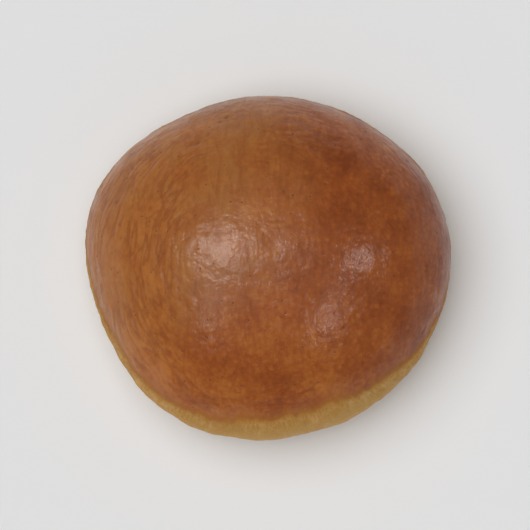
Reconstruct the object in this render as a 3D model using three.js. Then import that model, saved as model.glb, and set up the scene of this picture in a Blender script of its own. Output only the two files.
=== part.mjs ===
// A whole, unsliced brioche burger bun, as it comes off the baking tray.
//
// Millimetres, +Z up. The origin is the middle of the flat base, on the surface that the bun
// rests on. +X runs along the bun's longer way across.
//
// A brioche bun is baked as one piece, so the part is one closed solid: a domed crown over a
// belt, a lower side that tucks in under the belt, and a flat base. A turned profile gives the
// general form, and a second step makes it uneven, as a hand-shaped and proofed dough is.

import * as THREE from "three";
import { mergeVertices } from "three/addons/utils/BufferGeometryUtils.js";

// ---- driving dimensions ----
const WIDTH = 103; // across X
const DEPTH = 97; // across Y
const HEIGHT = 48; // from the base to the top of the crown
const BELT_HEIGHT = 15.5; // height of the widest ring above the base
const BASE_SHARE = 0.81; // radius of the flat base, as a share of the belt's radius
const CROWN_FULLNESS = 2.15; // superellipse exponent of the dome: 2 is an ellipse, more is squarer
const TUCK_FULLNESS = 2.2; // the same for the lower side, between the belt and the base

// ---- unevenness of the dough ----
const LEAN = { x: 1.6, y: -1.1 }; // how far the crown leans from the middle of the base
const TILT = { x: -0.018, y: 0.012 }; // extra height of the crown per millimetre across

// Waves in the outline seen from above: how many lobes, the share of the radius that they add,
// and the direction of the first lobe in degrees from +X.
const OUTLINE_WAVES = [
  { lobes: 2, share: 0.005, towards: 120 },
  { lobes: 3, share: 0.018, towards: 25 },
  { lobes: 4, share: 0.009, towards: 65 },
  { lobes: 5, share: 0.008, towards: 20 },
];

// The belt rises and falls round the bun.
const BELT_WAVES = [
  { lobes: 1, share: 0.07, towards: 320 },
  { lobes: 2, share: 0.05, towards: 70 },
  { lobes: 3, share: 0.03, towards: 10 },
];

// Soft swells (rise over 0) and hollows (rise under 0) on the crown: place from the middle,
// reach, and rise.
const SWELLS = [
  { x: -13, y: 4, reach: 15, rise: 0.6 },
  { x: 20, y: 1, reach: 13, rise: 0.6 },
  { x: 4, y: 9, reach: 10, rise: -0.5 },
  { x: 3, y: -6, reach: 10, rise: -0.3 },
  { x: 15, y: -17, reach: 11, rise: 0.6 },
  { x: -14, y: -19, reach: 12, rise: 0.5 },
  { x: -30, y: 14, reach: 12, rise: -0.7 },
  { x: 8, y: 29, reach: 13, rise: 0.6 },
  { x: 31, y: 20, reach: 12, rise: -0.7 },
  { x: 34, y: -14, reach: 10, rise: -0.6 },
  { x: 0, y: -34, reach: 12, rise: -0.5 },
];

// ---- resolution ----
const SEGMENTS = 84; // round the bun
const CROWN_RINGS = 20; // from the belt to the top
const TUCK_RINGS = 8; // from the base to the belt

const radians = THREE.MathUtils.degToRad;

// One point of a quarter superellipse that runs from (1, 0) at turn 0 to (0, 1) at turn 1.
function quarterTurn(turn, fullness) {
  const angle = (turn * Math.PI) / 2;
  return {
    across: Math.cos(angle) ** (2 / fullness),
    up: Math.sin(angle) ** (2 / fullness),
  };
}

// The turned profile on a radius of 1: x is the distance from the axis, y the height in
// millimetres. It starts and ends on the axis, and goes from the base to the crown.
function profilePoints() {
  const points = [new THREE.Vector2(0, 0)];
  for (let ring = 0; ring < TUCK_RINGS; ring++) {
    const { across, up } = quarterTurn(1 - ring / TUCK_RINGS, TUCK_FULLNESS);
    const radius = BASE_SHARE + (1 - BASE_SHARE) * across;
    points.push(new THREE.Vector2(radius, BELT_HEIGHT * (1 - up)));
  }
  for (let ring = 0; ring < CROWN_RINGS; ring++) {
    const { across, up } = quarterTurn(ring / CROWN_RINGS, CROWN_FULLNESS);
    const height = BELT_HEIGHT + (HEIGHT - BELT_HEIGHT) * up;
    points.push(new THREE.Vector2(across, height));
  }
  points.push(new THREE.Vector2(0, HEIGHT));
  return points;
}

// The sum of a set of waves in one direction round the bun.
function wavesAt(waves, azimuth) {
  return waves.reduce(
    (sum, { lobes, share, towards }) =>
      sum + share * Math.cos(lobes * (azimuth - radians(towards))),
    0,
  );
}

// How far the swells and hollows lift the crown at a place in plan.
function swellAt(x, y) {
  return SWELLS.reduce((sum, swell) => {
    const apart = Math.hypot(x - swell.x, y - swell.y) / swell.reach;
    return sum + swell.rise * Math.exp(-apart * apart);
  }, 0);
}

// Moves one point of the turned form to its place on the uneven bun. The base stays flat,
// because every change of height fades out towards it.
function unevenPoint(point) {
  const azimuth = Math.atan2(point.y, point.x);
  const rise = point.z / HEIGHT;
  const onCrown = THREE.MathUtils.smoothstep(point.z, BELT_HEIGHT, HEIGHT);

  const spread = 1 + wavesAt(OUTLINE_WAVES, azimuth);
  point.x = (point.x * spread * WIDTH) / 2;
  point.y = (point.y * spread * DEPTH) / 2;

  const beltShift = wavesAt(BELT_WAVES, azimuth) * 4 * rise * (1 - rise);
  const tilt = (TILT.x * point.x + TILT.y * point.y) * rise;
  point.z += BELT_HEIGHT * beltShift + tilt + swellAt(point.x, point.y) * onCrown;

  point.x += LEAN.x * rise * rise;
  point.y += LEAN.y * rise * rise;
  return point;
}

// Scales the finished form to the driving dimensions, with its base on z = 0 and its outline
// centred on the Z axis.
function fitToSize(geometry) {
  geometry.computeBoundingBox();
  const size = geometry.boundingBox.getSize(new THREE.Vector3());
  geometry.scale(WIDTH / size.x, DEPTH / size.y, HEIGHT / size.z);
  geometry.computeBoundingBox();
  const middle = geometry.boundingBox.getCenter(new THREE.Vector3());
  geometry.translate(-middle.x, -middle.y, -geometry.boundingBox.min.z);
}

function bunGeometry() {
  const turned = new THREE.LatheGeometry(profilePoints(), SEGMENTS);
  turned.rotateX(Math.PI / 2);
  turned.deleteAttribute("normal");
  turned.deleteAttribute("uv");
  const geometry = mergeVertices(turned);

  const places = geometry.getAttribute("position");
  const point = new THREE.Vector3();
  for (let i = 0; i < places.count; i++) {
    unevenPoint(point.fromBufferAttribute(places, i));
    places.setXYZ(i, point.x, point.y, point.z);
  }
  fitToSize(geometry);
  geometry.computeVertexNormals();
  return geometry;
}

// Egg-washed crust: a satin, reddish golden brown.
const crust = new THREE.MeshStandardMaterial({
  color: 0xa35f31,
  roughness: 0.38,
  metalness: 0,
});

const bun = new THREE.Mesh(bunGeometry(), crust);
bun.name = "brioche_bun";

const group = new THREE.Group();
group.add(bun);

export default group;
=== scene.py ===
"""The finished look of one whole brioche bun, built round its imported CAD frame.

The scene is in metres, as the frame is. The crust is shaped in millimetres, because every
crease, blister and pore on a bun is from a tenth of a millimetre to a few millimetres across.

The bun is one baked piece. Its mesh starts as an evenly dense copy of the CAD solid, and gets
the soft lumps, wrinkles, blisters and pores of a real crust as geometry. Numbers that say how
each spot was baked go on the mesh as attributes, and the crust's material turns them into the
glazed brown crown, the pale stretched side and the browned base.
"""

import math
import random

import bmesh
import bpy
import numpy as np
from mathutils import Matrix, Vector, kdtree, noise


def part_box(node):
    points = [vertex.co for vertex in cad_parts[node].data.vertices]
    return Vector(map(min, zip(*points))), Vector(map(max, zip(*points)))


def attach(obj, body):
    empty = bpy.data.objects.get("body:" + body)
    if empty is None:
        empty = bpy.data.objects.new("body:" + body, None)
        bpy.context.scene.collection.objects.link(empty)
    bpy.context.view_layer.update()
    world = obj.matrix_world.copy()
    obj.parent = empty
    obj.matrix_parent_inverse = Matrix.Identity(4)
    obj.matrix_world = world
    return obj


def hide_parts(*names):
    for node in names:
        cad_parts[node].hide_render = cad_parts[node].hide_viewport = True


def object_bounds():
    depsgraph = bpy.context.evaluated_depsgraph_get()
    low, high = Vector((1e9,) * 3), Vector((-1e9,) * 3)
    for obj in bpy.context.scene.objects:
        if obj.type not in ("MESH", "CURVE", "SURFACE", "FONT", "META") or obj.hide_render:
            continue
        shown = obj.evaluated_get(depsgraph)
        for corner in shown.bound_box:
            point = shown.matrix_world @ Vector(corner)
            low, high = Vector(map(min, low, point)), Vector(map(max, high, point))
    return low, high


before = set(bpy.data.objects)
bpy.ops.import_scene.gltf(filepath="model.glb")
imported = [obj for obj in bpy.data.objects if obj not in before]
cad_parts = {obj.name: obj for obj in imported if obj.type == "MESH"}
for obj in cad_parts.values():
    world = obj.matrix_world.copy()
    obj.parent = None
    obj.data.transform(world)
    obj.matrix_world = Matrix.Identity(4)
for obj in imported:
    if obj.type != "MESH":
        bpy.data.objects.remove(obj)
cad_low, cad_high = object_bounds()

MM = 0.001  # one millimetre, in metres

NODE = "brioche_bun"
low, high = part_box(NODE)
WIDTH, DEPTH, HEIGHT = ((high - low) / MM)[:]
RADIUS = (WIDTH + DEPTH) / 4  # the belt's mean radius

# ---- mesh ----
VOXEL = 0.58  # spacing of the mesh's vertices
SMOOTHING_PASSES = 40  # enough to melt the CAD solid's facets into one curve
WELD_REACH = 0.01  # the CAD solid's vertices that are closer than this are one
NOISE_STEP = (17.3, -9.1, 5.7)  # how far each next seed moves on through the noise

# ---- how the bun is baked ----
LINE_HEIGHT = 0.47 * HEIGHT  # mean height of the edge of the brown crown
# How the line rises and falls round the bun: lobes, rise, and direction of the first lobe
# in degrees from +X.
LINE_WAVES = [(1, 6.0, -98), (2, 3.0, -90), (3, 0.9, -63), (4, 0.9, -140)]
LINE_WOBBLE = 1.7  # how far it wanders besides
LINE_LUMP = 22  # distance round the bun from one wander to the next
SOLE_EDGE = 2.8  # height of the browned rim round the base
OCHRE_SIDE = (-0.55, 0.83, 0.0)  # the way to the side where the egg wash is thinner and yellower

# ---- relief of the crust ----
CROWN_CENTRE = 0.2 * HEIGHT  # height of the point that the crown curves round
WRINKLED_SIDE = 150  # where the crown creased most as it cooled, in degrees from +X
SHOULDER = (19, 34)  # how far from the middle of the crown creases start, and reach their full
CREASE_DEPTH = 0.05  # a crease as deep as this takes the full painted shade
HOLLOW_DEPTH = 0.22  # depth of the small hollows in the base
DISH_DEPTH = 0.35  # depth of the wide ones
# Round spots scattered over the crust: how many, and the radius and rise of the smallest and
# of the largest. They sink where the rise is under 0.
BLISTERS = (90, (0.9, 2.4), (0.05, 0.16))
BUBBLES = (220, (0.6, 1.0), (0.02, 0.06))
PINHOLES = (46, (0.6, 0.95), (-0.06, -0.2))
SIDE_PITS = (110, (0.6, 1.3), (-0.08, -0.3))
BASE_PITS = (240, (0.8, 2.4), (-0.15, -0.5))
SPOT_SEED = 12


# ---------------------------------------------------------------------------------------
# mesh helpers
# ---------------------------------------------------------------------------------------


def smoothstep(low_edge, high_edge, value):
    """0 below low_edge, 1 above high_edge, and a soft S between them."""
    share = np.clip((value - low_edge) / (high_edge - low_edge), 0, 1)
    return share * share * (3 - 2 * share)


def noise_at(points, lump, octaves=2, seed=0):
    """Smooth noise of about -1 to 1 at each point. lump is the size of one lump of it."""
    shift = Vector([step * seed for step in NOISE_STEP])
    falloff, lacunarity = 1.0, 2.0
    places = points / lump
    values = [noise.fractal(Vector(p) + shift, falloff, lacunarity, octaves) for p in places]
    return np.array(values)


def read_vertices(mesh):
    """Places and normals of the vertices, places in millimetres."""
    count = len(mesh.vertices)
    places = np.empty(count * 3, np.float32)
    normals = np.empty(count * 3, np.float32)
    mesh.vertices.foreach_get("co", places)
    mesh.vertices.foreach_get("normal", normals)
    return places.reshape(-1, 3).astype(float) / MM, normals.reshape(-1, 3).astype(float)


def write_vertices(mesh, places):
    """Puts the vertices at places given in millimetres."""
    mesh.vertices.foreach_set("co", (places * MM).astype(np.float32).ravel())
    mesh.update()


def relax(mesh, passes, strength=0.5):
    """Moves each vertex part of the way to the middle of its neighbours, some times over."""
    places, _ = read_vertices(mesh)
    edges = np.empty(len(mesh.edges) * 2, np.int32)
    mesh.edges.foreach_get("vertices", edges)
    a, b = edges.reshape(-1, 2).T
    count = len(places)
    valence = np.bincount(np.concatenate([a, b]), minlength=count)[:, None]
    for _ in range(passes):
        total = np.stack(
            [
                np.bincount(a, places[b, axis], count) + np.bincount(b, places[a, axis], count)
                for axis in range(3)
            ],
            axis=1,
        )
        places += strength * (total / valence - places)
    write_vertices(mesh, places)


def dense_copy(source, name):
    """An evenly dense, smooth copy of a CAD solid as a new object."""
    piece = bpy.data.objects.new(name, source.data.copy())
    bpy.context.scene.collection.objects.link(piece)

    weld = piece.modifiers.new("weld", "WELD")
    weld.merge_threshold = WELD_REACH * MM
    remesh = piece.modifiers.new("remesh", "REMESH")
    remesh.mode = "VOXEL"
    remesh.voxel_size = VOXEL * MM
    evaluated = piece.evaluated_get(bpy.context.evaluated_depsgraph_get())
    mesh = bpy.data.meshes.new_from_object(evaluated)
    mesh.name = name
    piece.modifiers.clear()
    piece.data = mesh
    mesh.materials.clear()
    relax(mesh, SMOOTHING_PASSES)
    mesh.polygons.foreach_set("use_smooth", [True] * len(mesh.polygons))
    return piece


def store(mesh, name, values):
    """Keeps one number for each vertex as an attribute that the material reads."""
    layer = mesh.attributes.new(name, "FLOAT", "POINT")
    layer.data.foreach_set("value", values.astype(np.float32))


# ---------------------------------------------------------------------------------------
# the crust's shape
# ---------------------------------------------------------------------------------------


class Crust:
    """Where each vertex is on the bun, in the terms that baking works in."""

    def __init__(self, places, normals):
        self.places = places
        x, y, z = places.T
        self.azimuth = np.arctan2(y, x)
        self.direction = np.stack([np.cos(self.azimuth), np.sin(self.azimuth)], axis=1)
        self.height = z
        # distance along the crust from the middle of the crown
        turn = np.arctan2(np.hypot(x, y), z - CROWN_CENTRE)
        self.reach = turn * RADIUS
        # how far the spot is above the edge of the brown crown
        wander = noise_at(self.round_about(0.9 * RADIUS), LINE_LUMP, octaves=3, seed=1)
        line = LINE_HEIGHT + LINE_WOBBLE * wander
        for lobes, rise, towards in LINE_WAVES:
            line += rise * np.cos(lobes * (self.azimuth - math.radians(towards)))
        self.above_line = z - line
        # the base is low down and faces down; the side fades into the crown across the line
        self.sole = smoothstep(0.55, 0.9, -normals[:, 2]) * smoothstep(2.5, 0.8, z)
        self.side = smoothstep(3, -3, self.above_line) * (1 - self.sole)
        self.crown = smoothstep(-1, 4, self.above_line)

    def round_about(self, radius, along=None):
        """The spot's direction drawn on a circle of this radius, with a third coordinate.

        Noise on these points is stretched round the bun or down it, and has no seam.
        """
        third = np.zeros(len(self.height)) if along is None else along
        return np.column_stack([self.direction * radius, third])


# Each function below gives one kind of relief, in millimetres for each vertex: noise times how
# far it rises, and times where on the bun it belongs.


def soft_lumps(crust):
    """The gentle unevenness of proofed dough, which breaks up the shine on the crown."""
    lumps = 0.30 * noise_at(crust.places, 21, octaves=1, seed=2)
    dimples = 0.13 * noise_at(crust.places, 9, octaves=2, seed=3)
    return (lumps + dimples) * (1 - crust.sole)


def crown_wrinkles(crust):
    """Fine creases round the crown, where the crust shrank as it cooled."""
    bent = 2.5 * noise_at(crust.places, 16, octaves=2, seed=4)
    rings = crust.round_about(RADIUS / 7.0, crust.reach + bent)
    creases = np.abs(noise_at(rings, 1.9, octaves=2, seed=5))
    more = 0.25 * np.cos(crust.azimuth - math.radians(WRINKLED_SIDE))
    patches = smoothstep(-0.15, 0.45, noise_at(crust.places, 20, octaves=2, seed=6) + more)
    shoulder = smoothstep(*SHOULDER, crust.reach) * crust.crown
    return 0.20 * (creases - 0.3) * shoulder * (0.25 + 0.75 * patches)


def skin_grain(crust):
    """The finest relief that the mesh can hold, all over the crown."""
    peel = noise_at(crust.places, 2.3, octaves=2, seed=7)
    return 0.050 * peel * crust.crown


def stretched_side(crust):
    """The pale side: dough that stretched up as it rose and sagged a little as it cooled."""
    streaks = noise_at(crust.round_about(RADIUS / 1.6, crust.height / 9), 1.0, 2, seed=8)
    ripples = noise_at(crust.round_about(RADIUS / 5.5, crust.height / 26), 1.0, 2, seed=14)
    folds = np.abs(noise_at(crust.round_about(RADIUS / 22, crust.height / 5.0), 1.0, 3, seed=9))
    pores = noise_at(crust.places, 1.6, octaves=2, seed=10)
    dents = noise_at(crust.places, 12, octaves=1, seed=15)
    relief = 0.09 * streaks + 0.26 * ripples + 0.45 * (folds - 0.35) + 0.07 * pores + 0.30 * dents
    return relief * crust.side


def puckered_edge(crust):
    """Small puckers where the side turns under to the base."""
    low_down = smoothstep(6.5, 2.0, crust.height) * (1 - crust.sole)
    puckers = noise_at(crust.round_about(RADIUS / 2.6, crust.height / 7), 1.0, 2, seed=11)
    return 0.30 * (puckers - 0.4) * low_down


def base_hollows(crust):
    """How far each part of the base stands off the tray: small hollows and wide ones."""
    hollows = smoothstep(-0.1, 0.55, noise_at(crust.places, 3.4, octaves=3, seed=12))
    dished = smoothstep(-0.2, 0.5, noise_at(crust.places, 17, octaves=2, seed=13))
    return (HOLLOW_DEPTH * hollows + DISH_DEPTH * dished) * crust.sole


def scattered(crust, tree, rng, chance, kind):
    """Round spots of one kind, such as BLISTERS, scattered over the crust.

    chance gives each vertex's share of the draw. The result is how far each vertex moves, and
    how deep in a spot it is, from 0 to 1.
    """
    count, radii, rises = kind
    moved = np.zeros(len(crust.height))
    inside = np.zeros(len(crust.height))
    total = np.cumsum(chance)
    for _ in range(count):
        at = int(np.searchsorted(total, rng.random() * total[-1]))
        size = rng.random()
        radius = radii[0] + (radii[1] - radii[0]) * size**2
        rise = rises[0] + (rises[1] - rises[0]) * size
        for _, near, apart in tree.find_range(crust.places[at], radius):
            form = (1 - (apart / radius) ** 2) ** 2
            moved[near] = max(moved[near], rise * form, key=abs)
            inside[near] = max(inside[near], form)
    return moved, inside


def tree_of(places):
    """A search tree that finds the places near a place."""
    tree = kdtree.KDTree(len(places))
    for index, place in enumerate(places):
        tree.insert(place, index)
    tree.balance()
    return tree


def fitted(places):
    """Scales the places to fill the CAD solid's box exactly."""
    target_low = np.array(low) / MM
    target_high = np.array(high) / MM
    share = (places - places.min(0)) / (places.max(0) - places.min(0))
    return target_low + share * (target_high - target_low)


def shape_crust(piece):
    """Gives the piece the relief of a real crust, and the attributes its material reads."""
    mesh = piece.data
    places, normals = read_vertices(mesh)
    crust = Crust(places, normals)

    tree = tree_of(places)
    rng = random.Random(SPOT_SEED)
    on_crown = crust.crown + 0.02
    on_shoulder = crust.crown * smoothstep(12, 40, crust.reach) + 0.01
    blister_rise, blisters = scattered(crust, tree, rng, on_shoulder, BLISTERS)
    bubble_rise, bubbles = scattered(crust, tree, rng, on_crown, BUBBLES)
    pinhole_rise, pinholes = scattered(crust, tree, rng, on_crown, PINHOLES)
    side_rise, side_pits = scattered(crust, tree, rng, crust.side, SIDE_PITS)
    base_rise, base_pits = scattered(crust, tree, rng, crust.sole, BASE_PITS)

    wrinkles = crown_wrinkles(crust)
    hollows = base_hollows(crust)
    rise = (
        soft_lumps(crust)
        + wrinkles
        + skin_grain(crust)
        + stretched_side(crust)
        + puckered_edge(crust)
        - hollows
        + blister_rise
        + bubble_rise
        + pinhole_rise
        + side_rise
        + base_rise
    )
    places = places + normals * rise[:, None]
    write_vertices(mesh, fitted(places))

    store(mesh, "above_line", crust.above_line)
    store(mesh, "sole", crust.sole)
    store(mesh, "blister", np.maximum(blisters, 0.6 * bubbles))
    store(mesh, "pit", np.maximum.reduce([pinholes, 0.5 * side_pits, base_pits]))
    store(mesh, "crease", wrinkles / CREASE_DEPTH)
    store(mesh, "hollow", hollows / (HOLLOW_DEPTH + DISH_DEPTH))


# ---------------------------------------------------------------------------------------
# the crust's material
# ---------------------------------------------------------------------------------------


class Graph:
    """Short calls for building one material's node tree. Functions below name it g."""

    def __init__(self, material):
        self.tree = material.node_tree
        self.tree.nodes.clear()

    def add(self, kind, inputs=None, **settings):
        """A new node. inputs maps a socket's name or number to a value or to a socket."""
        new = self.tree.nodes.new(kind)
        for name, value in settings.items():
            setattr(new, name, value)
        for key, value in (inputs or {}).items():
            if isinstance(value, bpy.types.NodeSocket):
                self.tree.links.new(value, new.inputs[key])
            else:
                new.inputs[key].default_value = value
        return new

    def math(self, operation, a, b=0.0, clamp=False):
        """One sum on two numbers."""
        new = self.add("ShaderNodeMath", {0: a, 1: b}, operation=operation, use_clamp=clamp)
        return new.outputs[0]

    def total(self, *values):
        """The sum of several numbers."""
        result = values[0]
        for value in values[1:]:
            result = self.math("ADD", result, value)
        return result

    def product(self, *values):
        """The product of several numbers."""
        result = values[0]
        for value in values[1:]:
            result = self.math("MULTIPLY", result, value)
        return result

    def centred(self, value, reach):
        """Noise from 0 to 1, turned into an amount from -reach to reach."""
        return self.math("MULTIPLY", self.math("SUBTRACT", value, 0.5), 2 * reach)

    def ramp(self, value, from_low, from_high, to_low=0.0, to_high=1.0, smooth=True):
        """value mapped from one range to another, held at its ends."""
        inputs = {
            "Value": value,
            "From Min": from_low,
            "From Max": from_high,
            "To Min": to_low,
            "To Max": to_high,
        }
        form = "SMOOTHSTEP" if smooth else "LINEAR"
        return self.add("ShaderNodeMapRange", inputs, interpolation_type=form).outputs["Result"]

    def noise(self, vector, lump, detail=3.0, roughness=0.55, distortion=0.0):
        """Noise from 0 to 1; lump is the size of one lump, in the vector's units."""
        inputs = {
            "Vector": vector,
            "Scale": 1 / lump,
            "Detail": detail,
            "Roughness": roughness,
            "Distortion": distortion,
        }
        return self.add("ShaderNodeTexNoise", inputs).outputs[0]

    def dots(self, vector, spacing, radius, kept):
        """Scattered soft dots, from 0 to 1. kept is the share of the places that get one."""
        cells = self.add("ShaderNodeTexVoronoi", {"Vector": vector, "Scale": 1 / spacing})
        edge = radius / spacing
        solid = 0.35 * edge
        dot = self.ramp(cells.outputs["Distance"], edge, solid)
        chance = self.add("ShaderNodeSeparateColor", {0: cells.outputs["Color"]}).outputs[0]
        return self.math("MULTIPLY", dot, self.ramp(chance, 1 - kept, 1.02 - kept))

    def webbing(self, vector, spacing):
        """A net of soft lines round cells of this size: 1 on a line, 0 inside a cell."""
        inputs = {"Vector": vector, "Scale": 1 / spacing}
        cells = self.add("ShaderNodeTexVoronoi", inputs, feature="DISTANCE_TO_EDGE")
        line_width = 0.22
        return self.ramp(cells.outputs["Distance"], line_width, 0.0)

    def pebbles(self, vector, spacing):
        """Rounded bumps of this size that fill the surface: 1 in their middles, 0 between."""
        inputs = {"Vector": vector, "Scale": 1 / spacing, "Smoothness": 0.35}
        cells = self.add("ShaderNodeTexVoronoi", inputs, feature="SMOOTH_F1")
        foot, top = 0.75, 0.05
        return self.ramp(cells.outputs["Distance"], foot, top)

    def scaled(self, vector, scale):
        """The vector times another, axis by axis."""
        inputs = {0: vector, 1: scale}
        return self.add("ShaderNodeVectorMath", inputs, operation="MULTIPLY").outputs[0]

    def shifted(self, vector, push, reach):
        """The vector moved about by push, a coloured noise, by up to reach."""
        offset = self.add("ShaderNodeVectorMath", {0: push, 1: (0.5,) * 3}, operation="SUBTRACT")
        far = self.scaled(offset.outputs[0], (2 * reach,) * 3)
        return self.add("ShaderNodeVectorMath", {0: vector, 1: far}, operation="ADD").outputs[0]

    def attribute(self, name):
        """A number that the mesh carries at each vertex."""
        return self.add("ShaderNodeAttribute", attribute_name=name).outputs["Fac"]

    def mix(self, share, a, b):
        """Colour a turned into colour b by a share from 0 to 1."""
        new = self.add("ShaderNodeMix", data_type="RGBA")
        for socket, value in ((new.inputs[0], share), (new.inputs[6], a), (new.inputs[7], b)):
            if isinstance(value, bpy.types.NodeSocket):
                self.tree.links.new(value, socket)
            else:
                socket.default_value = (*value, 1.0)
        return new.outputs[2]

    def blend(self, share, a, b):
        """Number a turned into number b by a share from 0 to 1."""
        return self.add("ShaderNodeMix", {0: share, 2: a, 3: b}, data_type="FLOAT").outputs[0]

    def colours(self, value, stops):
        """A colour ramp through (place, colour) stops."""
        new = self.add("ShaderNodeValToRGB", {0: value})
        ramp = new.color_ramp
        while len(ramp.elements) < len(stops):
            ramp.elements.new(0.5)
        for element, (place, colour) in zip(ramp.elements, stops):
            element.position = place
            element.color = (*colour, 1.0)
        return new.outputs["Color"]


# Colours of the pale side and of the turn to brown, by how far a spot lies above the edge of
# the brown crown, in millimetres.
TURN_LOW, TURN_HIGH = -20.0, 10.0
TURN_COLOURS = [
    (-20.0, (0.650, 0.410, 0.180)),
    (-12.0, (0.575, 0.332, 0.112)),
    (-7.5, (0.510, 0.284, 0.074)),
    (-3.5, (0.438, 0.222, 0.043)),
    (0.0, (0.405, 0.182, 0.032)),
    (1.6, (0.340, 0.118, 0.018)),
    (10.0, (0.290, 0.082, 0.012)),
]
GOLDEN_AND_PORE_SHADE = (0.560, 0.280, 0.078)  # the flush on the pale side, and the painted shade in its pores
FLOURY = (0.740, 0.500, 0.235)  # its lightest spots
# Bakes of the crown itself, from the darkest to the lightest. The darkest also gives the painted
# shade in pits, and the mahogany the painted shade in creases.
CARAMEL_AND_PIT_SHADE = (0.120, 0.028, 0.006)
OCHRE = (0.365, 0.160, 0.042)
MAHOGANY_AND_CREASE_SHADE = (0.190, 0.040, 0.007)
CHESTNUT = (0.290, 0.070, 0.010)
AMBER = (0.410, 0.130, 0.018)
# Bakes of the base. The painted shade in its pits leads towards the darkest.
SOLE_DARK = (0.270, 0.098, 0.024)
SOLE_BROWN = (0.400, 0.170, 0.043)
SOLE_PALE = (0.520, 0.265, 0.080)


class Spot:
    """What the crust's colour, gloss and relief are worked out from, as sockets.

    Lengths are in millimetres. The masks run from 0 to 1.
    """

    def __init__(self, g):
        self.g = g
        self.place = g.scaled(g.add("ShaderNodeTexCoord").outputs["Object"], (1 / MM,) * 3)
        parts = g.add("ShaderNodeSeparateXYZ", {0: self.place})
        self.across, self.height = parts.outputs["X"], parts.outputs["Z"]
        flat = g.scaled(self.place, (1, 1, 0))
        self.direction = g.add("ShaderNodeVectorMath", {0: flat}, operation="NORMALIZE").outputs[0]

        self.sole = g.attribute("sole")
        self.blister = g.attribute("blister")
        self.pit = g.attribute("pit")
        self.crease = g.attribute("crease")
        self.hollow = g.attribute("hollow")

        # unevenness at every scale, from patches down to the finest grain
        self.patches = g.noise(self.place, 24.0, detail=2.0)
        self.mottle = g.noise(self.place, 8.0, detail=6.0, roughness=0.66)
        self.speckle = g.noise(self.place, 1.5, detail=4.0, roughness=0.70)
        self.grain = g.noise(self.place, 0.55, detail=2.0)
        self.streaks = g.noise(self.round_and_down(2.0, 10.0), 1.0, detail=4.0, roughness=0.6)
        self.brush = self.brush_marks()
        jitter_lump = 2.6
        inputs = {"Vector": self.place, "Scale": 1 / jitter_lump, "Detail": 3.0}
        self.jitter = g.add("ShaderNodeTexNoise", inputs).outputs["Color"]
        self.peel = g.pebbles(g.shifted(self.place, self.jitter, 0.7), 1.5)

        self.baked = self.how_baked()
        self.thin_wash = self.where_thin()
        self.crown = g.ramp(self.baked, -0.5, 4.5)
        self.pale = g.ramp(self.baked, 1.0, -1.5)

    def round_and_down(self, width, length):
        """Coordinates in which one unit is width mm round the bun and length mm in height."""
        g = self.g
        turned = g.add("ShaderNodeSeparateXYZ", {0: self.direction})
        x = g.math("MULTIPLY", turned.outputs["X"], RADIUS / width)
        y = g.math("MULTIPLY", turned.outputs["Y"], RADIUS / width)
        z = g.math("DIVIDE", self.height, length)
        return g.add("ShaderNodeCombineXYZ", {0: x, 1: y, 2: z}).outputs[0]

    def brush_marks(self):
        """Faint strokes of the egg-wash brush, drawn across the crown."""
        turn = (0.0, 0.0, math.radians(10))
        squeeze = (1.0, 0.16, 0.5)
        inputs = {"Vector": self.place, "Rotation": turn, "Scale": squeeze}
        axes = self.g.add("ShaderNodeMapping", inputs).outputs[0]
        return self.g.noise(axes, 3.2, detail=4.0, roughness=0.6, distortion=1.6)

    def where_thin(self):
        """Patches to one side of the crown where the egg wash is thin and the crust yellower."""
        g = self.g
        dot = {0: self.place, 1: OCHRE_SIDE}
        along = g.add("ShaderNodeVectorMath", dot, operation="DOT_PRODUCT").outputs["Value"]
        return g.product(
            g.ramp(along, -0.30 * RADIUS, 0.15 * RADIUS),
            g.ramp(self.across, 0.45 * RADIUS, -0.05 * RADIUS),
            g.ramp(self.patches, 0.36, 0.60, 0.45, 1.0),
            g.ramp(self.brush, 0.30, 0.70, 0.62, 0.30),
        )

    def how_baked(self):
        """Height above the edge of the crown, made uneven, with runs of egg wash below it."""
        g = self.g
        ragged = g.ramp(self.patches, 0.35, 0.65, 0.15, 1.0)
        wisps = g.noise(self.round_and_down(5.5, 16.0), 1.0, detail=3.0)
        wander = g.product(g.total(g.centred(self.streaks, 1.2), g.centred(wisps, 1.6)), ragged)
        runs = g.noise(self.round_and_down(6.0, 45.0), 1.0, detail=2.0)
        drips = g.math("MULTIPLY", g.ramp(runs, 0.52, 0.78), 2.6)
        return g.total(g.attribute("above_line"), wander, drips, g.centred(self.mottle, 2.2))


def crown_colour(g, spot):
    """The glazed crown's colour, from amber to mahogany. Gives its specks too."""
    bake_and_shade = g.total(
        g.centred(spot.patches, 0.40),
        g.centred(spot.mottle, 0.45),
        g.centred(spot.speckle, 0.34),
        # a little lighter on the tops of the skin's pebbles and darker between them: painted light
        # and shade of the fine relief
        g.centred(spot.peel, -0.07),
        g.centred(spot.brush, 0.26),
        # redder and darker towards +X: partly a deeper bake there, partly painted shade on the
        # side away from the ceiling light
        g.math("MULTIPLY", spot.across, 0.21 / RADIUS),
        g.ramp(spot.baked, 0.0, 22.0, 0.24, 0.52, smooth=False),
    )
    colour = g.colours(bake_and_shade, [(0.10, AMBER), (0.50, CHESTNUT), (0.90, MAHOGANY_AND_CREASE_SHADE)])
    colour = g.mix(spot.thin_wash, colour, OCHRE)
    freckles = g.dots(spot.place, 4.6, 1.0, 0.5)
    colour = g.mix(g.product(freckles, g.ramp(spot.mottle, 0.4, 0.6, 0.1, 0.5)), colour, AMBER)
    specks = g.dots(g.shifted(spot.place, spot.jitter, 0.35), 2.3, 0.40, 0.45)
    colour = g.mix(g.product(specks, 0.60), colour, CARAMEL_AND_PIT_SHADE)
    colour = g.mix(g.product(spot.blister, 0.30), colour, AMBER)
    # painted shade: the pinholes and pits darken towards caramel
    return g.mix(g.product(spot.pit, 0.45), colour, CARAMEL_AND_PIT_SHADE), specks


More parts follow.
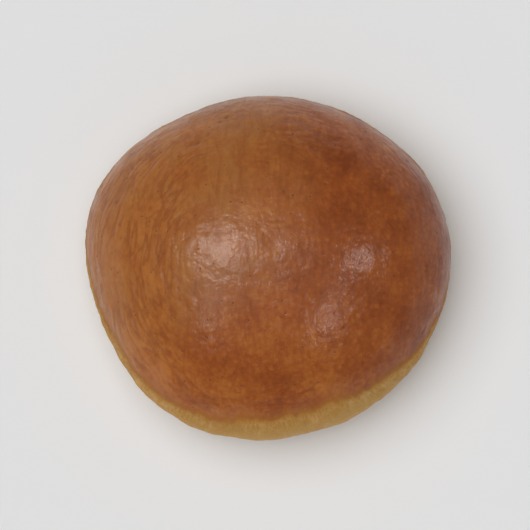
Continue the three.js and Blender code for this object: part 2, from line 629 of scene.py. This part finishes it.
def side_colour(g, spot):
    """The pale side's colour and the turn to brown. Gives its net and its pores too."""
    share = g.ramp(spot.baked, TURN_LOW, TURN_HIGH, smooth=False)
    span = TURN_HIGH - TURN_LOW
    colour = g.colours(share, [((at - TURN_LOW) / span, tone) for at, tone in TURN_COLOURS])
    flush = g.product(g.ramp(spot.mottle, 0.45, 0.70), spot.pale, 0.60)
    colour = g.mix(flush, colour, GOLDEN_AND_PORE_SHADE)
    drawn = g.product(g.ramp(spot.streaks, 0.48, 0.75), spot.pale, 0.30)
    colour = g.mix(drawn, colour, FLOURY)

    # just under the crown the skin stretched into a fine net as the dough rose
    bent = g.shifted(spot.round_and_down(1.2, 5.0), spot.jitter, 0.7)
    net = g.webbing(bent, 1.0)
    stretched = g.product(
        g.ramp(spot.baked, -9.0, -1.5, 0.03, 0.24), g.ramp(spot.patches, 0.35, 0.6, 0.25, 1.0)
    )
    colour = g.mix(g.product(net, spot.pale, stretched), colour, FLOURY)
    # painted shade: the side's pores darken towards golden
    pores = g.dots(g.shifted(spot.place, spot.jitter, 0.35), 2.1, 0.42, 0.5)
    colour = g.mix(g.product(pores, 0.42), colour, GOLDEN_AND_PORE_SHADE)
    bloom = g.product(g.ramp(spot.grain, 0.45, 0.80), spot.pale, 0.22)
    return g.mix(bloom, colour, FLOURY), net, pores


def sole_colour(g, spot):
    """The base: brown where it touched the tray, and golden in the hollows."""
    tone = g.total(
        g.ramp(spot.hollow, 0.0, 0.8, 0.62, 0.22),
        g.centred(spot.mottle, 0.45),
        g.centred(spot.speckle, 0.25),
        # painted shade: the base's pits darken towards its darkest brown
        g.product(spot.pit, 0.30),
    )
    return g.colours(tone, [(0.15, SOLE_PALE), (0.45, SOLE_BROWN), (0.85, SOLE_DARK)])


def crust_colour(g, spot, glaze, side):
    """The whole crust's colour, from the glazed crown and the side to the base, with painted shade
    in the crown's creases.
    """
    colour = g.mix(g.ramp(spot.baked, 0.2, 4.0), side, glaze)
    # painted shade: the crown's creases darken towards mahogany
    crease = g.ramp(spot.crease, 0.0, -1.0)
    colour = g.mix(g.product(crease, spot.crown, 0.40), colour, MAHOGANY_AND_CREASE_SHADE)
    # the base's colour creeps up round the edge
    creep = g.math("ADD", spot.height, g.centred(spot.mottle, 3.0))
    rim = g.ramp(creep, SOLE_EDGE + 2.6, SOLE_EDGE - 2.2, to_high=0.8)
    return g.mix(g.math("MAXIMUM", spot.sole, rim), colour, sole_colour(g, spot))


def crust_gloss(g, spot, specks):
    """Roughness and coat weight: the egg wash shines where it lies thick."""
    wet = g.product(spot.crown, g.math("SUBTRACT", 1.0, spot.sole, clamp=True))
    roughness = g.total(
        g.ramp(wet, 0.0, 1.0, 0.76, 0.44),
        g.centred(spot.speckle, 0.08),
        g.product(spot.pit, 0.15),
        g.product(specks, 0.10),
    )
    coat = g.product(wet, g.ramp(spot.mottle, 0.35, 0.65, 0.85, 0.45))
    return roughness, coat


def crust_relief(g, spot, specks, net, pores):
    """Relief finer than the mesh holds, as a normal. The heights are in millimetres."""
    crown = g.total(
        g.product(spot.speckle, 0.090),
        g.product(spot.peel, 0.036),
        g.product(spot.brush, 0.045),
        g.product(spot.grain, 0.018),
        g.product(specks, -0.080),
    )
    side = g.total(
        g.product(spot.grain, 0.070),
        g.product(spot.speckle, 0.120),
        g.product(spot.streaks, 0.090),
        g.product(pores, -0.110),
        g.product(net, 0.035),
    )
    inputs = {"Distance": MM, "Height": g.blend(spot.crown, side, crown)}
    return g.add("ShaderNodeBump", inputs).outputs[0]


def crust_material():
    """Egg-washed brioche crust: glazed brown crown, pale matte side, browned base."""
    material = bpy.data.materials.new("brioche_crust")
    material.use_nodes = True
    g = Graph(material)
    spot = Spot(g)
    glaze, specks = crown_colour(g, spot)
    side, net, pores = side_colour(g, spot)
    roughness, coat = crust_gloss(g, spot, specks)
    relief = crust_relief(g, spot, specks, net, pores)
    shader = g.add(
        "ShaderNodeBsdfPrincipled",
        {
            "Base Color": crust_colour(g, spot, glaze, side),
            "Roughness": roughness,
            "Specular IOR Level": 0.12,
            "Coat Weight": coat,
            "Coat Roughness": 0.20,
            "Coat IOR": 1.40,
            "Subsurface Weight": 0.12,
            "Subsurface Radius": (1.0, 0.40, 0.15),
            "Subsurface Scale": 1.4 * MM,
            "Normal": relief,
            "Coat Normal": relief,
        },
    )
    g.add("ShaderNodeOutputMaterial", {0: shader.outputs[0]})
    return material


def make_bun():
    """The bun: one baked piece that stands for the CAD solid."""
    bun = dense_copy(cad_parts[NODE], "baked_bun")
    shape_crust(bun)
    bun.data.materials.append(crust_material())
    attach(bun, "root")
    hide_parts(NODE)
    return bun


# ---------------------------------------------------------------------------------------
# floor, light and camera
# ---------------------------------------------------------------------------------------

FLOOR_COLOUR = (0.80, 0.80, 0.805)
FLOOR_RADIUS = 2.4
FLOOR_RINGS = (0.25, 0.5, 1.0)  # where the flat floor's rings lie, as shares of its radius
FLOOR_SIDES = 96
COVE_RADIUS = 0.6  # the floor curves up into a low wall all round, so no horizon shows
COVE_STEPS = 12

# Softboxes: name, direction it comes from (azimuth from +X, elevation), distance, width and
# height in metres, and power in watts.
SOFTBOXES = [
    ("key", 156, 71, 0.75, 0.32, 0.15, 1.5),
    ("key_halo", 156, 70, 0.75, 0.52, 0.20, 0.65),
    ("right", 1, 50, 0.75, 0.12, 0.13, 0.80),
    ("lower_right", -42, 54, 0.75, 0.15, 0.06, 0.50),
    ("lower_left", -145, 59, 0.75, 0.12, 0.10, 0.38),
]
# Broad lights: name, azimuth, elevation, spread in degrees, and strength. They light the bun
# and the floor evenly, and the softboxes only add the shine on the glaze.
BROAD_LIGHTS = [
    ("ceiling", 165, 78, 60, 2.15),
    ("front", -110, 40, 90, 0.28),
]
SKY = 0.18  # brightness of the even light from all round
BACKDROP = 0.74  # brightness of the room behind the floor's edge

CAMERA_DISTANCE = 0.85  # metres from the middle of the bun
CAMERA_OFF_VERTICAL = 6.0  # degrees that the camera leans from straight above
CAMERA_SIDE = -52.0  # degrees from +X: the side that the camera leans to
FILL = 0.70  # share of the picture's width that the bun takes


def floor_profile():
    """The floor's section from the middle outwards, as (distance out, height) points."""
    points = [(FLOOR_RADIUS * share, 0.0) for share in FLOOR_RINGS]
    for step in range(1, COVE_STEPS + 1):
        angle = math.pi / 2 * step / COVE_STEPS
        out = FLOOR_RADIUS + COVE_RADIUS * math.sin(angle)
        points.append((out, COVE_RADIUS * (1 - math.cos(angle))))
    return points


def floor_mesh():
    """The floor's section, turned round the Z axis."""
    shape = bmesh.new()
    centre = shape.verts.new((0, 0, cad_low.z))
    angles = [2 * math.pi * side / FLOOR_SIDES for side in range(FLOOR_SIDES)]
    rings = []
    for out, up in floor_profile():
        places = [(out * math.cos(a), out * math.sin(a), cad_low.z + up) for a in angles]
        rings.append([shape.verts.new(place) for place in places])
    for side in range(FLOOR_SIDES):
        after = (side + 1) % FLOOR_SIDES
        shape.faces.new((centre, rings[0][side], rings[0][after]))
        for inner, outer in zip(rings, rings[1:]):
            shape.faces.new((inner[side], outer[side], outer[after], inner[after]))
    mesh = bpy.data.meshes.new("floor")
    shape.to_mesh(mesh)
    shape.free()
    mesh.polygons.foreach_set("use_smooth", [True] * len(mesh.polygons))
    return mesh


def floor_material():
    """Pale matte paper, with no shine of its own."""
    material = bpy.data.materials.new("floor_paper")
    material.use_nodes = True
    shader = material.node_tree.nodes["Principled BSDF"]
    shader.inputs["Base Color"].default_value = (*FLOOR_COLOUR, 1.0)
    shader.inputs["Roughness"].default_value = 0.9
    shader.inputs["Specular IOR Level"].default_value = 0.0
    return material


def make_floor():
    """A round floor whose edge curves up into a low wall."""
    mesh = floor_mesh()
    floor = bpy.data.objects.new("floor", mesh)
    bpy.context.scene.collection.objects.link(floor)
    mesh.materials.append(floor_material())


def towards(azimuth, elevation):
    """The direction with this azimuth from +X and elevation, in degrees."""
    turn, up = math.radians(azimuth), math.radians(elevation)
    return Vector((math.cos(turn) * math.cos(up), math.sin(turn) * math.cos(up), math.sin(up)))


def aim(thing, place, back):
    """Puts a light or camera at place, facing away from back, with world +Y up in its view."""
    right = Vector((0.0, 1.0, 0.0)).cross(back).normalized()
    axes = Matrix((right, back.cross(right), back)).transposed()
    thing.matrix_world = Matrix.Translation(place) @ axes.to_4x4()


def make_softboxes():
    """Soft lamps that put the highlights on the glaze, and light nothing else."""
    middle = (cad_low + cad_high) / 2
    for name, azimuth, elevation, distance, width, height, power in SOFTBOXES:
        light = bpy.data.lights.new(name, "AREA")
        light.shape = "RECTANGLE"
        light.size = width
        light.size_y = height
        light.energy = power
        box = bpy.data.objects.new(name, light)
        bpy.context.scene.collection.objects.link(box)
        back = towards(azimuth, elevation)
        box.visible_diffuse = False
        aim(box, middle + back * distance, back)


def make_broad_lights():
    """Wide, even lights that leave no highlight of their own."""
    middle = (cad_low + cad_high) / 2
    for name, azimuth, elevation, spread, strength in BROAD_LIGHTS:
        light = bpy.data.lights.new(name, "SUN")
        light.angle = math.radians(spread)
        light.energy = strength
        broad = bpy.data.objects.new(name, light)
        bpy.context.scene.collection.objects.link(broad)
        broad.visible_glossy = False
        back = towards(azimuth, elevation)
        aim(broad, middle + back, back)


def make_room():
    """A plain room that lights the bun evenly, and shows about as bright as the floor.

    The picture shows tones as they are, with no film curve.
    """
    world = bpy.data.worlds.new("studio")
    world.use_nodes = True
    tree = world.node_tree
    path = tree.nodes.new("ShaderNodeLightPath")
    brightness = tree.nodes.new("ShaderNodeMapRange")
    brightness.inputs["To Min"].default_value = SKY
    brightness.inputs["To Max"].default_value = BACKDROP
    tree.links.new(path.outputs["Is Camera Ray"], brightness.inputs["Value"])
    background = tree.nodes["Background"]
    background.inputs["Color"].default_value = (1.0, 1.0, 1.0, 1.0)
    tree.links.new(brightness.outputs[0], background.inputs["Strength"])
    bpy.context.scene.world = world
    bpy.context.scene.view_settings.view_transform = "Standard"


def make_camera():
    """A camera that looks down on the bun from a little to one side."""
    camera = bpy.data.objects.new("camera", bpy.data.cameras.new("camera"))
    bpy.context.scene.collection.objects.link(camera)
    middle = (cad_low + cad_high) / 2
    back = towards(CAMERA_SIDE, 90 - CAMERA_OFF_VERTICAL)
    aim(camera, middle + back * CAMERA_DISTANCE, back)
    seen = WIDTH * MM / FILL
    camera.data.lens = camera.data.sensor_width * CAMERA_DISTANCE / seen
    camera.data.clip_start = 0.01
    camera.data.clip_end = 50.0
    bpy.context.scene.camera = camera


make_bun()
make_floor()
make_softboxes()
make_broad_lights()
make_room()
make_camera()
